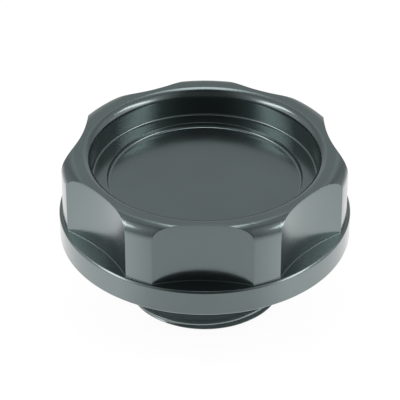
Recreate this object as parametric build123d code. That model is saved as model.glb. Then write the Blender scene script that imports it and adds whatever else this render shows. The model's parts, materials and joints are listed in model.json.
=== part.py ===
# Oil filler cap: scalloped head with a dished top, flange, threaded neck and rubber sealing ring
import os

from build123d import *

os.makedirs("parts", exist_ok=True)

# Driving dimensions, in millimetres
flange_diameter = 63.0
flange_thickness = 5.9
flange_chamfer = 0.4  # upper and lower edge

head_height = 14.1  # above the flange
lobe_setback = 0.75  # from the flange's edge in to the lobes
shoulder_round = 3.0  # outer top edge of the lobes

scallop_count = 7  # one of them faces -Y
scallop_depth = 3.45  # from the lobes in to the deepest line of a scallop
scallop_radius = 35.2
scallop_edge_chamfer = 0.15

rim_wall = 2.95  # thinnest part of the rim, behind a scallop
rim_round = 2.05  # inner top edge
recess_depth = 6.3  # from the rim down to the ledge
ledge_width = 3.35
disc_step = 1.1  # from the ledge down to the disc

thread_major_diameter = 35.0  # for a filler opening with a 35 mm thread of 4 mm pitch
neck_length = 15.2  # below the flange
neck_end_chamfer = 0.9
neck_wall = 2.4  # thinnest part of the neck, behind the groove
bore_mouth_chamfer = 0.5
bore_corner_chamfer = 1.5
web_thickness = 4.0  # between the disc and the bore

groove_depth = 2.1  # from the thread in to the sealing ring's seat
groove_clearance = 0.4  # between the ring and the threaded part of the neck
groove_edge_chamfer = 0.4
ring_width = 3.9
ring_height = 3.6
ring_chamfer = 0.9  # outer edges

# Radii that follow
flange_r = flange_diameter / 2
head_r = flange_r - lobe_setback
scallop_floor_r = head_r - scallop_depth
recess_r = scallop_floor_r - rim_wall
disc_r = recess_r - ledge_width
thread_r = thread_major_diameter / 2
groove_r = thread_r - groove_depth
bore_r = groove_r - neck_wall

# Heights that follow, with the end of the neck at z = 0
flange_bottom_z = neck_length
flange_top_z = flange_bottom_z + flange_thickness
top_z = flange_top_z + head_height
ledge_z = top_z - recess_depth
disc_z = ledge_z - disc_step
bore_top_z = disc_z - web_thickness
groove_bottom_z = flange_bottom_z - ring_height - groove_clearance


def corner(sketch, point):
    return sketch.vertices().sort_by_distance(point)[0]


# Half section of the turned blank, drawn as radius and height, then its edges one by one
section = make_face(
    Polyline(
        (0, disc_z),
        (disc_r, disc_z),
        (disc_r, ledge_z),
        (recess_r, ledge_z),
        (recess_r, top_z),
        (head_r, top_z),
        (head_r, flange_top_z),
        (flange_r, flange_top_z),
        (flange_r, flange_bottom_z),
        (groove_r, flange_bottom_z),
        (groove_r, groove_bottom_z),
        (thread_r, groove_bottom_z),
        (thread_r, 0),
        (bore_r, 0),
        (bore_r, bore_top_z),
        (0, bore_top_z),
        close=True,
    )
)
rounds = [
    ((recess_r, top_z), rim_round),
    ((head_r, top_z), shoulder_round),
]
chamfers = [
    ((flange_r, flange_top_z), flange_chamfer),
    ((flange_r, flange_bottom_z), flange_chamfer),
    ((thread_r, groove_bottom_z), groove_edge_chamfer),
    ((thread_r, 0), neck_end_chamfer),
    ((bore_r, 0), bore_mouth_chamfer),
    ((bore_r, bore_top_z), bore_corner_chamfer),
]
for point, radius in rounds:
    section = fillet(corner(section, point), radius)
for point, length in chamfers:
    section = chamfer(corner(section, point), length)
blank = revolve(Plane.XZ * section, Axis.Z)

# Scallops milled around the head, down to the flange
scallop_tool = extrude(Circle(scallop_radius), head_height + 1)
scallop_ring = PolarLocations(scallop_floor_r + scallop_radius, scallop_count, start_angle=-90)
cap_body = blank
for place in scallop_ring:
    cap_body -= Pos(0, 0, flange_top_z) * place * scallop_tool

# Sharp edges that the scallops leave on the lobes and the rim, broken all along
scallop_walls = cap_body.faces().filter_by(lambda face: abs((face.radius or 0) - scallop_radius) < 1e-6)
wall_edges = scallop_walls.edges()
cap_body = chamfer(wall_edges - wall_edges.group_by(Axis.Z)[0], scallop_edge_chamfer)

# Moulded sealing ring, stretched over the neck into its groove and resting against the flange
ring_section = Rectangle(ring_width, ring_height, align=(Align.MIN, Align.MAX))
ring_section = chamfer(ring_section.vertices().group_by(Axis.X)[-1], ring_chamfer)
seal_ring = revolve(Plane.XZ * Pos(groove_r, flange_bottom_z) * ring_section, Axis.Z)

for name, solid in [("cap_body", cap_body), ("seal_ring", seal_ring)]:
    export_step(solid, f"parts/{name}.step")
    print(name, round(solid.volume, 1), solid.bounding_box())
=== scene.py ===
import json
import math

import bmesh
import bpy
from mathutils import Matrix, Quaternion, Vector


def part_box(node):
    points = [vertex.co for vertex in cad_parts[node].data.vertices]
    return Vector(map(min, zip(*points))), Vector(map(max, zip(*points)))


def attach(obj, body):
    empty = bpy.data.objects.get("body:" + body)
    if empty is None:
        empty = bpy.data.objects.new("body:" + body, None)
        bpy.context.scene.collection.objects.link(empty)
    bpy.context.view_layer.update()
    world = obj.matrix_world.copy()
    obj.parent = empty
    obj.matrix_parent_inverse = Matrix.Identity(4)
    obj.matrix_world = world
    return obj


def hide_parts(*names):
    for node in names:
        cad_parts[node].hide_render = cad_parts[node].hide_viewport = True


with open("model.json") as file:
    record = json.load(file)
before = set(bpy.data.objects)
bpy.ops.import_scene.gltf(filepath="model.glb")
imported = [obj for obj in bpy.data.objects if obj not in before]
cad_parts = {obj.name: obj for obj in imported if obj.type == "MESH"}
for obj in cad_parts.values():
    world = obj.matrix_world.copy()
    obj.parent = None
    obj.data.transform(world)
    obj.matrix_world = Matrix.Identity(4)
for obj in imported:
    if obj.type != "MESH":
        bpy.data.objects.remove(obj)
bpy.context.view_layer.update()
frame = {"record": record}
scene = bpy.context.scene
mm = 0.001  # pieces are drawn in millimetres, the scene is in metres

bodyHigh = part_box("cap_body")[1]
ringLow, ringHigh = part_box("seal_ring")
threadMount = next(mount for mount in frame["record"]["mounts"] if mount["name"] == "thread")
print("frame loaded, cap", round(bodyHigh.x * 2 / mm, 2), "mm across")


# Both pieces are swept round the axis from half sections: lists of radius, height and a share of paler wear
# with painted highlight, in millimetres
sweep = {
    "hold": 0.07,  # from the end of a straight run to the point that keeps its shading flat
    "weld": 0.0006,  # points closer than this become one
    "sliver": 0.0004,  # faces thinner than this are taken out
}


def arcPoints(centre, radius, start, end, steps, wearHighlight=0.0):
    points = []
    for step in range(steps + 1):
        angle = math.radians(start + (end - start) * step / steps)
        points.append((centre[0] + radius * math.cos(angle), centre[1] + radius * math.sin(angle), wearHighlight))
    return points


def heldLine(start, end):  # two points just inside the ends, so that rounds beside a flat face shade cleanly
    across, up = end[0] - start[0], end[1] - start[1]
    length = math.hypot(across, up)
    share = 0.5  # both in the middle of a run that is too short for two
    if length >= 3 * sweep["hold"]:
        share = sweep["hold"] / length
    return [(start[0] + across * part, start[1] + up * part, 0.0) for part in (share, 1 - share)]


def bevelInset(bevel, soft):  # along a face, from a corner to the round that begins its bevel of 45 degrees
    return bevel + soft * math.tan(math.radians(45 / 2))


def sweepMesh(name, angles, sections):  # one section for each angle, the last a full turn after the first
    mesh = bpy.data.meshes.new(name)
    bm = bmesh.new()
    wearHighlightLayer = bm.verts.layers.float.new("edgeWearAndHighlight")
    columns = []
    for angle, section in zip(angles, sections):
        turned = Matrix.Rotation(angle, 3, "Z")
        column = []
        for radius, height, wearHighlight in section:
            vert = bm.verts.new(turned @ Vector((radius * mm, 0, height * mm)))
            vert[wearHighlightLayer] = wearHighlight
            column.append(vert)
        columns.append(column)
    for left, right in zip(columns, columns[1:]):
        for row in range(len(left) - 1):
            bm.faces.new((left[row], left[row + 1], right[row + 1], right[row]))
    bmesh.ops.remove_doubles(bm, verts=bm.verts, dist=sweep["weld"] * mm)
    bmesh.ops.dissolve_degenerate(bm, dist=sweep["sliver"] * mm, edges=bm.edges)
    bmesh.ops.recalc_face_normals(bm, faces=bm.faces)
    for face in bm.faces:
        face.smooth = True
    bm.to_mesh(mesh)
    bm.free()
    piece = bpy.data.objects.new(name, mesh)
    scene.collection.objects.link(piece)
    return piece


# The cap, in millimetres, with heights from the end of its neck
ringWidth = 3.9  # across the section of the ring in the groove
cap = {
    "flangeRadius": bodyHigh.x / mm,
    "flangeBottom": 15.2,
    "flangeTop": 21.1,
    "flangeBevel": 0.35,  # upper edge
    "flangeSoft": 0.3,  # rounds at both sides of that bevel
    "flangeRound": 0.4,  # lower edge
    "top": bodyHigh.z / mm,
    "lobeRadius": 30.75,
    "shoulderRound": 3.0,
    "scallopCount": 7,
    "scallopFloor": 27.3,
    "scallopRadius": 35.2,
    "edgeRound": 0.06,
    "footRound": 0.12,
    "recessRadius": 24.35,
    "rimRound": 2.05,
    "ledge": 28.9,
    "ledgeCorner": 0.45,
    "discRadius": 21.0,
    "disc": 27.8,
    "discCorner": 0.55,
    "discEdge": 0.05,
    "grooveRadius": ringHigh.x / mm - ringWidth,
    "grooveBottom": 11.2,
    "grooveEdge": 0.4,
    "neckChamfer": 0.9,
    "boreRadius": 13.0,
    "boreTop": 23.8,
    "boreMouth": 0.5,
    "boreCorner": 1.5,
    # share of paler colour on these edges: partly wear, partly a painted highlight
    "edgeWearAndHighlight": 0.3,  # on the flange's edges and the mouth of the bore
    "discRing": 10.5,  # radius of an extra ring of points on the disc
    "boreRing": 5.2,  # the same on the end of the bore
    "wallRows": (0.04, 0.35, 0.7, 0.98),  # shares of the way down the wall of the head
    "bendFrom": 0.62,  # share of half a scallop, from which its columns stand closer together
    "columns": {"scallop": 8, "scallopEnd": 11, "corner": 4, "lobe": 5},  # from mid scallop to mid lobe
}

thread = {
    "radius": threadMount["dims"]["r_mm"],
    "pitch": 4.0,
    "frontCrest": 2.0,  # height of the crest that faces the camera
    # share of the same paler colour on the thread, through the mask that carries the edges' wear and painted
    # highlight
    "wearHighlight": 1.0,
    # height above the middle of a crest and depth below it, down one flank to where the root begins
    "flank": [(0.0, 0.0), (0.12, 0.0), (0.18, 0.02), (0.24, 0.09),
              (0.8, 1.06), (1.3, 1.93), (1.42, 2.06), (1.6, 2.1)],
    # height and depth of the bevelled lip at the neck's end
    "endLip": [(0.0, 0.9), (0.3, 0.6), (0.38, 0.56), (0.46, 0.66), (0.86, 1.5), (1.1, 2.1)],
    "crests": range(-4, 5),  # counted from the front one; rows past the neck's ends are moved onto them
}
# one whole pitch, whose second half mirrors the first
threadProfile = thread["flank"] + [(thread["pitch"] - up, depth) for up, depth in reversed(thread["flank"])]


def lobeCorner():  # centre of the round between a lobe and a scallop, and the turns where it begins and ends
    edge = cap["edgeRound"]
    away = cap["scallopFloor"] + cap["scallopRadius"]
    near, far = cap["lobeRadius"] - edge, cap["scallopRadius"] + edge
    lobeTurn = math.acos((near ** 2 + away ** 2 - far ** 2) / (2 * near * away))
    centre = Vector((near * math.cos(lobeTurn), near * math.sin(lobeTurn)))
    cutter = Vector((away, 0))
    touch = cutter + (centre - cutter) * (cap["scallopRadius"] / far)
    return centre, math.atan2(touch.y, touch.x), lobeTurn


cornerCentre, scallopEnd, lobeStart = lobeCorner()


def headOutline(turn):  # distance from the axis to the head's wall, by the turn from the middle of a scallop
    turn = abs(turn)
    if turn >= lobeStart:
        return cap["lobeRadius"]
    if turn > scallopEnd:
        along = cornerCentre.x * math.cos(turn) + cornerCentre.y * math.sin(turn)
        return along + math.sqrt(cap["edgeRound"] ** 2 - cornerCentre.length_squared + along ** 2)
    away = cap["scallopFloor"] + cap["scallopRadius"]
    return away * math.cos(turn) - math.sqrt(cap["scallopRadius"] ** 2 - (away * math.sin(turn)) ** 2)


def headColumns():  # turns through one scallop and its half lobes, closer together where the wall bends
    bend = cap["bendFrom"] * scallopEnd
    half = math.pi / cap["scallopCount"]
    stops = [0.0, bend, scallopEnd, lobeStart, half]
    turns = []
    for start, end, steps in zip(stops, stops[1:], cap["columns"].values()):
        turns += [start + (end - start) * step / steps for step in range(steps)]
    turns.append(half)
    return [-turn for turn in reversed(turns)] + turns[1:-1]


def depthAt(stops, height):  # straight between the stops, and the last depth past them
    for (low, start), (high, end) in zip(stops, stops[1:]):
        if height <= high:
            return start + (end - start) * (height - low) / (high - low)
    return stops[-1][1]


def threadRows(angle):  # down the neck, with the rows along the helix, so that every crest stays sharp
    pitch, high = thread["pitch"], cap["grooveBottom"]
    front = thread["frontCrest"] + pitch * (angle + math.pi / 2) / math.tau
    heights = [front + crest * pitch + up for crest in thread["crests"] for up, depth in threadProfile[:-1]]
    heights += [height for height, depth in thread["endLip"]]
    rows = []
    for height in sorted((min(max(height, 0.0), high) for height in heights), reverse=True):
        depth = min(depthAt(threadProfile, (height - front) % pitch), depthAt(thread["endLip"], height))
        depth = max(depth, cap["neckChamfer"] - height, cap["grooveEdge"] - high + height)
        rows.append((thread["radius"] - depth, height, thread["wearHighlight"]))
    return rows


def capSection(angle, turn):  # from the disc, over the rim and the flange, to the end of the bore
    top, ledge, disc = cap["top"], cap["ledge"], cap["disc"]
    path = [(0.0, disc, 0.0), (cap["discRing"], disc, 0.0)]

    def join(points):  # straight run from the last point, then the new points
        path.extend(heldLine(path[-1], points[0]))
        path.extend(points)

    # dish: disc, step, ledge and wall
    discRadius, discCorner, discEdge = cap["discRadius"], cap["discCorner"], cap["discEdge"]
    recess, ledgeCorner, rim = cap["recessRadius"], cap["ledgeCorner"], cap["rimRound"]
    join(arcPoints((discRadius - discCorner, disc + discCorner), discCorner, -90, 0, steps=4))
    join(arcPoints((discRadius + discEdge, ledge - discEdge), discEdge, 180, 90, steps=4))
    join(arcPoints((recess - ledgeCorner, ledge + ledgeCorner), ledgeCorner, -90, 0, steps=5))
    join(arcPoints((recess + rim, top - rim), rim, 180, 90, steps=10))

    # shoulder of the lobes, cut off where a scallop runs through it, with the edge that is left rounded over
    shoulder, edge = cap["shoulderRound"], cap["edgeRound"]
    outer = headOutline(turn)
    shoulderStart = cap["lobeRadius"] - shoulder
    edgeCentre = outer - edge
    if edgeCentre <= shoulderStart:
        edgeHeight, slope = top - edge, 0.0
    else:
        reach, inner = edgeCentre - shoulderStart, shoulder - edge
        edgeHeight = top - shoulder + math.sqrt(max(inner ** 2 - reach ** 2, 0.0))
        slope = math.degrees(math.asin(min(reach / inner, 1.0)))
    join(arcPoints((min(edgeCentre, shoulderStart), top - shoulder), shoulder, 90, 90 - slope, steps=10))
    path.extend(arcPoints((edgeCentre, edgeHeight), edge, 90 - slope, 0, steps=4))

    # wall of the head down to the flange
    foot = cap["footRound"]
    wallLow = cap["flangeTop"] + foot
    for share in cap["wallRows"]:
        path.append((outer, edgeHeight + (wallLow - edgeHeight) * share, 0.0))
    path.extend(arcPoints((outer + foot, wallLow), foot, 180, 270, steps=3))

    # flange, its edges marked for the paler wear and painted highlight
    flange, soft, low, wearHighlight = cap["flangeRadius"], cap["flangeSoft"], cap["flangeRound"], cap["edgeWearAndHighlight"]
    inset = bevelInset(cap["flangeBevel"], soft)
    join(arcPoints((flange - inset, cap["flangeTop"] - soft), soft, 90, 45, steps=3, wearHighlight=wearHighlight))
    join(arcPoints((flange - soft, cap["flangeTop"] - inset), soft, 45, 0, steps=3, wearHighlight=wearHighlight))
    join(arcPoints((flange - low, cap["flangeBottom"] + low), low, 0, -90, steps=5, wearHighlight=wearHighlight))

    # groove under the flange, threaded neck and the hollow inside it
    join([(cap["grooveRadius"], cap["flangeBottom"], 0.0)])
    join([(cap["grooveRadius"], cap["grooveBottom"], 0.0)])
    path.extend(threadRows(angle))
    bore, mouth, boreCorner, boreTop = cap["boreRadius"], cap["boreMouth"], cap["boreCorner"], cap["boreTop"]
    join([(bore + mouth, 0.0, wearHighlight)])
    path.append((bore, mouth, wearHighlight))
    join(arcPoints((bore - boreCorner, boreTop - boreCorner), boreCorner, 0, 90, steps=5))
    path.append((cap["boreRing"], boreTop, 0.0))
    path.append((0.0, boreTop, 0.0))
    return path


turns = headColumns()
capAngles, capSections = [], []
for lobe in range(cap["scallopCount"]):
    # middle of a scallop, counted from the lobe at the back
    middle = math.radians(-270) + math.tau * (lobe + 0.5) / cap["scallopCount"]
    for turn in turns:
        capAngles.append(middle + turn)
        capSections.append(capSection(capAngles[-1], turn))
capAngles.append(capAngles[0] + math.tau)
capSections.append(capSection(capAngles[-1], turns[0]))
capPiece = sweepMesh("capTurnedBody", capAngles, capSections)
print("cap mesh", len(capPiece.data.polygons), "faces")


# Rubber ring in the groove
ring = {
    "innerRadius": cap["grooveRadius"],
    "outerRadius": ringHigh.x / mm,
    "low": ringLow.z / mm,
    "high": ringHigh.z / mm,
    "bevel": 0.9,  # outer edges
    "soft": 0.25,  # rounds on all corners
    "columns": 180,
}


def ringSection():
    inner, outer, low, high = ring["innerRadius"], ring["outerRadius"], ring["low"], ring["high"]
    soft = ring["soft"]
    inset = bevelInset(ring["bevel"], soft)
    path = []
    for points in (
        arcPoints((inner + soft, high - soft), soft, 180, 90, steps=4),
        arcPoints((outer - inset, high - soft), soft, 90, 45, steps=3),
        arcPoints((outer - soft, high - inset), soft, 45, 0, steps=3),
        arcPoints((outer - soft, low + inset), soft, 0, -45, steps=3),
        arcPoints((outer - inset, low + soft), soft, -45, -90, steps=3),
        arcPoints((inner + soft, low + soft), soft, -90, -180, steps=4),
    ):
        if path:
            path.extend(heldLine(path[-1], points[0]))
        path.extend(points)
    path.extend(heldLine(path[-1], path[0]))
    path.append(path[0])
    return path


ringAngles = [math.tau * column / ring["columns"] for column in range(ring["columns"] + 1)]
ringPiece = sweepMesh("sealRing", ringAngles, [ringSection()] * len(ringAngles))
print("ring mesh", len(ringPiece.data.polygons), "faces")


# Shader nodes, with an input that is either a value or another node's output
def addNode(tree, kind, place, settings=None, inputs=None):
    node = tree.nodes.new("ShaderNode" + kind)
    node.location = place
    for key, value in (settings or {}).items():
        setattr(node, key, value)
    for key, value in (inputs or {}).items():
        if isinstance(value, bpy.types.NodeSocket):
            tree.links.new(value, node.inputs[key])
        else:
            node.inputs[key].default_value = value
    return node


def addMath(tree, place, operation, *values):
    return addNode(tree, "Math", place, {"operation": operation}, dict(enumerate(values))).outputs[0]


def addNoise(tree, place, vector, scale, detail, roughness):
    inputs = {"Vector": vector, "Scale": scale, "Detail": detail, "Roughness": roughness}
    return addNode(tree, "TexNoise", place, inputs=inputs).outputs[0]


def addRange(tree, place, value, given, wanted=(0.0, 1.0)):  # from one pair of ends to another
    inputs = {
        "Value": value,
        "From Min": given[0],
        "From Max": given[1],
        "To Min": wanted[0],
        "To Max": wanted[1],
    }
    return addNode(tree, "MapRange", place, inputs=inputs).outputs[0]


def addBlend(tree, place, share, first, second):  # of two colours
    return addNode(tree, "Mix", place, {"data_type": "RGBA"}, {0: share, 6: first, 7: second}).outputs[2]


def newFinish(name):
    material = bpy.data.materials.new(name)
    material.use_nodes = True
    tree = material.node_tree
    tree.nodes.clear()
    output = addNode(tree, "OutputMaterial", (900, 0))
    return material, tree, output


# Dark anodised metal with faint turning lines, a fine grain, and paler edges that are partly wear and partly
# a painted highlight
noiseEnds = (0.3, 0.7)  # most of a noise lies between these
anodised = {
    "colour": (0.148, 0.182, 0.181),
    "dyeSpread": 0.06,  # share by which the dye is darker and lighter in places
    # paler colour where marked: rubbed metal, and also a painted highlight along the edges
    "paleWearHighlight": (0.30, 0.33, 0.33),  # rubbed metal
    "wearHighlightFrom": 0.35,  # level of the grain noise from which the rubbed metal shows
    "wearHighlightShow": 0.35,
    "metallic": 0.97,
    "roughness": 0.2,
    "grainRough": 0.03,
    "patchRough": 0.02,
    "feed": 0.00012,  # metres between turning lines
    "flatFrom": 0.7,  # upright share of a normal, from which a face counts as flat
    "lines": {"Strength": 0.12, "Distance": 0.000004},
    "grain": {"Strength": 0.1, "Distance": 0.000006},
}


def anodisedFinish():
    material, tree, output = newFinish("anodisedBody")
    place = addNode(tree, "TexCoord", (-1500, 0)).outputs["Object"]
    axes = addNode(tree, "SeparateXYZ", (-1300, 200), inputs={0: place})
    level = addNode(tree, "VectorMath", (-1300, -50), {"operation": "MULTIPLY"}, {0: place, 1: (1, 1, 0)})
    radius = addNode(tree, "VectorMath", (-1100, -50), {"operation": "LENGTH"}, {0: level.outputs[0]})
    normal = addNode(tree, "NewGeometry", (-1500, -300)).outputs["Normal"]
    facing = addNode(tree, "SeparateXYZ", (-1300, -300), inputs={0: normal})
    upright = addMath(tree, (-1100, -300), "ABSOLUTE", facing.outputs[2])
    isFlat = addMath(tree, (-900, -300), "GREATER_THAN", upright, anodised["flatFrom"])

    # turning lines: rings on flat faces, hoops on upright ones
    across = addNode(tree, "Mix", (-700, 0), {"data_type": "FLOAT"},
                     {0: isFlat, 2: axes.outputs[2], 3: radius.outputs["Value"]})
    lines = addNode(tree, "TexNoise", (-500, 0), {"noise_dimensions": "1D"},
                    {"W": across.outputs[0], "Scale": 1 / anodised["feed"], "Detail": 2.0, "Roughness": 0.6})
    grain = addNoise(tree, (-500, -300), place, scale=7000.0, detail=3.0, roughness=0.65)
    patches = addNoise(tree, (-500, -600), place, scale=90.0, detail=4.0, roughness=0.55)

    # colour: dye a little uneven, paler where marked, as rubbed wear and painted highlight
    dyeDark = tuple(part * (1 - anodised["dyeSpread"]) for part in anodised["colour"]) + (1,)
    dyeLight = tuple(part * (1 + anodised["dyeSpread"]) for part in anodised["colour"]) + (1,)
    dye = addBlend(tree, (-200, 200), patches, dyeDark, dyeLight)
    wearHighlightMask = addNode(tree, "Attribute", (-500, 400), {"attribute_name": "edgeWearAndHighlight"}).outputs["Fac"]
    wearHighlightEnds = (anodised["wearHighlightFrom"], noiseEnds[1])
    wearHighlightLevel = addRange(tree, (-200, 450), grain, wearHighlightEnds, (0.0, anodised["wearHighlightShow"]))
    wearHighlightShare = addMath(tree, (0, 400), "MULTIPLY", wearHighlightMask, wearHighlightLevel)
    colour = addBlend(tree, (200, 200), wearHighlightShare, dye, anodised["paleWearHighlight"] + (1,))

    # roughness: fine grain and broad soft patches
    rough, grainRough, patchRough = anodised["roughness"], anodised["grainRough"], anodised["patchRough"]
    fine = addRange(tree, (-200, -300), grain, noiseEnds, (rough - grainRough, rough + grainRough))
    broad = addRange(tree, (-200, -600), patches, noiseEnds, (-patchRough, patchRough))
    roughness = addMath(tree, (0, -400), "ADD", fine, broad)

    lineBump = addNode(tree, "Bump", (200, -200), inputs={**anodised["lines"], "Height": lines.outputs[0]})
    grainBump = addNode(tree, "Bump", (400, -300),
                        inputs={**anodised["grain"], "Height": grain, "Normal": lineBump.outputs[0]})
    metal = addNode(tree, "BsdfPrincipled", (600, 0), inputs={
        "Base Color": colour,
        "Metallic": anodised["metallic"],
        "Roughness": roughness,
        "Normal": grainBump.outputs[0],
    })
    tree.links.new(metal.outputs[0], output.inputs[0])
    return material


# Matt black rubber with a dusty bloom
rubber = {
    "colour": (0.016, 0.016, 0.017),
    "dusty": (0.034, 0.034, 0.034),
    "dustyFrom": 0.42,  # level of the patch noise from which the bloom shows
    "roughness": (0.5, 0.64),  # lowest and highest
    "grain": {"Strength": 0.25, "Distance": 0.00002},
}


def rubberFinish():
    material, tree, output = newFinish("sealRubber")
    place = addNode(tree, "TexCoord", (-1100, 0)).outputs["Object"]
    grain = addNoise(tree, (-800, -200), place, scale=4200.0, detail=3.0, roughness=0.6)
    patches = addNoise(tree, (-800, 200), place, scale=260.0, detail=5.0, roughness=0.6)
    bloom = addRange(tree, (-500, 200), patches, (rubber["dustyFrom"], noiseEnds[1]))
    colour = addBlend(tree, (-200, 200), bloom, rubber["colour"] + (1,), rubber["dusty"] + (1,))
    roughness = addRange(tree, (-200, -50), grain, noiseEnds, rubber["roughness"])
    bump = addNode(tree, "Bump", (-200, -300), inputs={**rubber["grain"], "Height": grain})
    body = addNode(tree, "BsdfPrincipled", (300, 0), inputs={
        "Base Color": colour,
        "Roughness": roughness,
        "Normal": bump.outputs[0],
    })
    tree.links.new(body.outputs[0], output.inputs[0])
    return material


capPiece.data.materials.append(anodisedFinish())
ringPiece.data.materials.append(rubberFinish())
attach(capPiece, "root")
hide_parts("cap_body")
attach(ringPiece, "root")
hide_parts("seal_ring")
print("finishes on, pieces ride on root")


# White floor that the cap stands on, in metres
warmTint = (1, 0.945, 0.945)  # of the floor's glow and the side panels
floor = {
    "half": 1.5,
    "tone": 0.86,
    "shadowShow": 0.15,  # share of the cap's shadow that the camera sees
    "lift": 0.085,  # brings the paper up to white for the camera
    # what the metal mirrors: brightness by the turn from the front, by the distance, and close to the neck
    "turns": {0: 0.26, 28: 0.36, 50: 0.95, 92: 0.98, 130: 0.68, 180: 0.42},
    "reach": {0.0: 0.9, 0.055: 1.0, 0.07: 0.92, 0.12: 0.3, 0.4: 0.1},
    "near": {0.0: 1.0, 0.034: 1.0, 0.046: 0.0},
}


def turnFromFront(tree, x, y, way):  # in degrees, the same on both sides
    axes = addNode(tree, "SeparateXYZ", (x, y), inputs={0: way})
    across = addMath(tree, (x + 200, y + 100), "ABSOLUTE", axes.outputs[0])
    ahead = addMath(tree, (x + 200, y - 100), "MULTIPLY", axes.outputs[1], -1.0)
    turn = addMath(tree, (x + 400, y), "ARCTAN2", across, ahead)
    return addMath(tree, (x + 600, y), "DEGREES", turn)


def toneRamp(tree, x, y, value, tones, tint=(1, 1, 1)):  # brightness by a value, from the stops in tones
    low, high = min(tones), max(tones)
    along = addRange(tree, (x, y), value, (low, high))
    ramp = addNode(tree, "ValToRGB", (x + 200, y), inputs={0: along})
    stops = ramp.color_ramp.elements
    while len(stops) < len(tones):
        stops.new(0.5)
    for stop, (at, tone) in zip(stops, tones.items()):
        stop.position = (at - low) / (high - low)
        stop.color = tuple(tone * part for part in tint) + (1,)
    return ramp.outputs[0]


def floorBoard():
    half, tone = floor["half"], floor["tone"]
    corners = [(-half, -half, 0), (half, -half, 0), (half, half, 0), (-half, half, 0)]
    mesh = bpy.data.meshes.new("whiteFloor")
    mesh.from_pydata(corners, [], [(0, 1, 2, 3)])
    board = bpy.data.objects.new("whiteFloor", mesh)
    scene.collection.objects.link(board)

    # paper that is white for the camera, apart from a share of the shadow
    material, tree, output = newFinish("whitePaper")
    paper = addNode(tree, "BsdfDiffuse", (0, 100), inputs={"Color": (tone, tone, tone, 1)})
    white = addNode(tree, "Emission", (0, -100), inputs={"Color": (1, 1, 1, 1), "Strength": 1.0})
    rays = addNode(tree, "LightPath", (-400, 300)).outputs
    seen = addMath(tree, (-200, 300), "MULTIPLY", rays["Is Camera Ray"], 1 - floor["shadowShow"])
    mix = addNode(tree, "MixShader", (300, 0), inputs={0: seen, 1: paper.outputs[0], 2: white.outputs[0]})

    # brightness that the metal mirrors, and the lift for the camera
    place = addNode(tree, "NewGeometry", (-1700, -500)).outputs["Position"]
    away = addNode(tree, "VectorMath", (-1100, -700), {"operation": "LENGTH"}, {0: place}).outputs["Value"]
    turns = toneRamp(tree, -800, -300, turnFromFront(tree, -1500, -300, place), floor["turns"])
    reach = toneRamp(tree, -800, -600, away, floor["reach"])
    near = toneRamp(tree, -800, -900, away, floor["near"])
    around = addMath(tree, (-400, -400), "MULTIPLY", turns, reach)
    bright = addMath(tree, (-300, -500), "MAXIMUM", around, near)
    mirrored = addMath(tree, (-100, -500), "MULTIPLY", rays["Is Glossy Ray"], bright)
    strength = addMath(tree, (100, -400), "MULTIPLY_ADD", rays["Is Camera Ray"], floor["lift"], mirrored)
    glow = addNode(tree, "Emission", (300, -300), inputs={"Color": warmTint + (1,), "Strength": strength})
    lit = addNode(tree, "AddShader", (500, 0), inputs={0: mix.outputs[0], 1: glow.outputs[0]})
    tree.links.new(lit.outputs[0], output.inputs[0])
    mesh.materials.append(material)
    return board


floorBoard()
print("floor in place")


# Studio light: a tilted panel and a fill on each side, one overhead, and a room that is dark in front
sidePanels = {
    "side": {
        "place": (0.2, -0.045, 0.175),
        "aim": (0, -0.045, 0.175),
        "width": 0.2,
        "height": 0.07,
        "roll": 26,  # degrees
        "radiance": 4.9,
        "tint": warmTint,
    },
    "fill": {
        "place": (0.2, -0.04, 0.09),
        "aim": (0, -0.04, 0.09),
        "width": 0.2,
        "height": 0.08,
        "roll": 0,
        "radiance": 0.58,
        "tint": warmTint,
    },
}
overhead = {
    "place": (0, 0.105, 0.348),
    "aim": (0, 0, 0.025),
    "width": 0.096,
    "height": 0.182,
    "roll": 0,
    "radiance": 2.55,
    "tint": (1, 1, 1),
}
room = {
    # brightness by the turn from straight in front, in degrees, the same on both sides
    "turns": {0: 0.11, 24: 0.13, 54: 0.7, 70: 0.8, 90: 0.42, 115: 0.74, 138: 0.42, 162: 0.8, 180: 0.59},
    "tint": (0.985, 1, 1),
    # share that is taken away high up, by the height of a direction and by its turn
    "high": {0.0: 0.0, 0.75: 0.0, 0.92: 0.6, 1.0: 0.6},
    "front": {0: 1.0, 60: 1.0, 110: 0.0, 180: 0.0},
}


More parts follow.
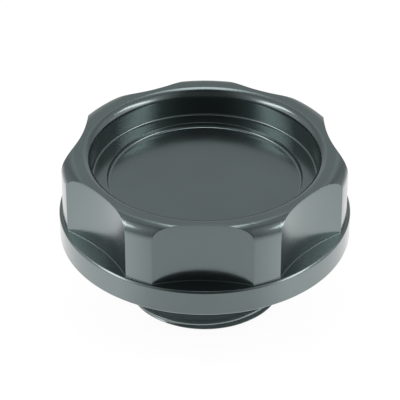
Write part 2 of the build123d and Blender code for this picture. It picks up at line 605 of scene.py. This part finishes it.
def addPanel(name, panel, side=1):
    place, aim = Vector(panel["place"]), Vector(panel["aim"])
    place.x *= side
    aim.x *= side
    lamp = bpy.data.lights.new(name, "AREA")
    lamp.shape = "RECTANGLE"
    lamp.color = panel["tint"]
    lamp.size, lamp.size_y = panel["width"], panel["height"]
    lamp.energy = panel["radiance"] * math.pi * panel["width"] * panel["height"]
    holder = bpy.data.objects.new(name, lamp)
    holder.location = place
    roll = Quaternion((0, 0, 1), math.radians(panel["roll"] * side))
    holder.rotation_euler = ((place - aim).to_track_quat("Z", "Y") @ roll).to_euler()
    holder.visible_camera = False
    scene.collection.objects.link(holder)


def addRoom():
    world = bpy.data.worlds.new("room")
    world.use_nodes = True
    scene.world = world
    tree = world.node_tree
    way = addNode(tree, "TexCoord", (-1700, 0)).outputs["Generated"]
    turn = turnFromFront(tree, -1500, 0, way)
    height = addNode(tree, "SeparateXYZ", (-1100, -300), inputs={0: way}).outputs[2]
    tones = toneRamp(tree, -800, 200, turn, room["turns"], room["tint"])
    high = toneRamp(tree, -800, -100, height, room["high"])
    front = toneRamp(tree, -800, -400, turn, room["front"])
    taken = addMath(tree, (-400, -200), "MULTIPLY", high, front)
    left = addMath(tree, (-200, -200), "SUBTRACT", 1.0, taken)
    background = tree.nodes["Background"]
    tree.links.new(tones, background.inputs["Color"])
    tree.links.new(left, background.inputs["Strength"])


for name, panel in sidePanels.items():
    addPanel(name + "Left", panel, -1)
    addPanel(name + "Right", panel)
addPanel("overhead", overhead)
addRoom()
print("lights set")


# Camera at the photograph's angle
view = {
    "tilt": 34.65,  # degrees down
    "turn": 0.891,  # degrees round the axis
    "distance": 0.5088,
    "aim": (-0.00104, 0.0, 0.02251),
    "lens": 211.63,
    "sensor": 36.0,
    "nearest": 0.01,
}
tilt, turned = math.radians(view["tilt"]), math.radians(view["turn"])
camera = bpy.data.objects.new("camera", bpy.data.cameras.new("camera"))
camera.data.lens = view["lens"]
camera.data.sensor_width = view["sensor"]
camera.data.clip_start = view["nearest"]
back = Vector((0, -math.cos(tilt), math.sin(tilt))) * view["distance"]
camera.location = Matrix.Rotation(turned, 3, "Z") @ (Vector(view["aim"]) + back)
camera.rotation_euler = (math.pi / 2 - tilt, 0, turned)
scene.collection.objects.link(camera)
scene.camera = camera
scene.view_settings.view_transform = "Standard"
print("camera set")
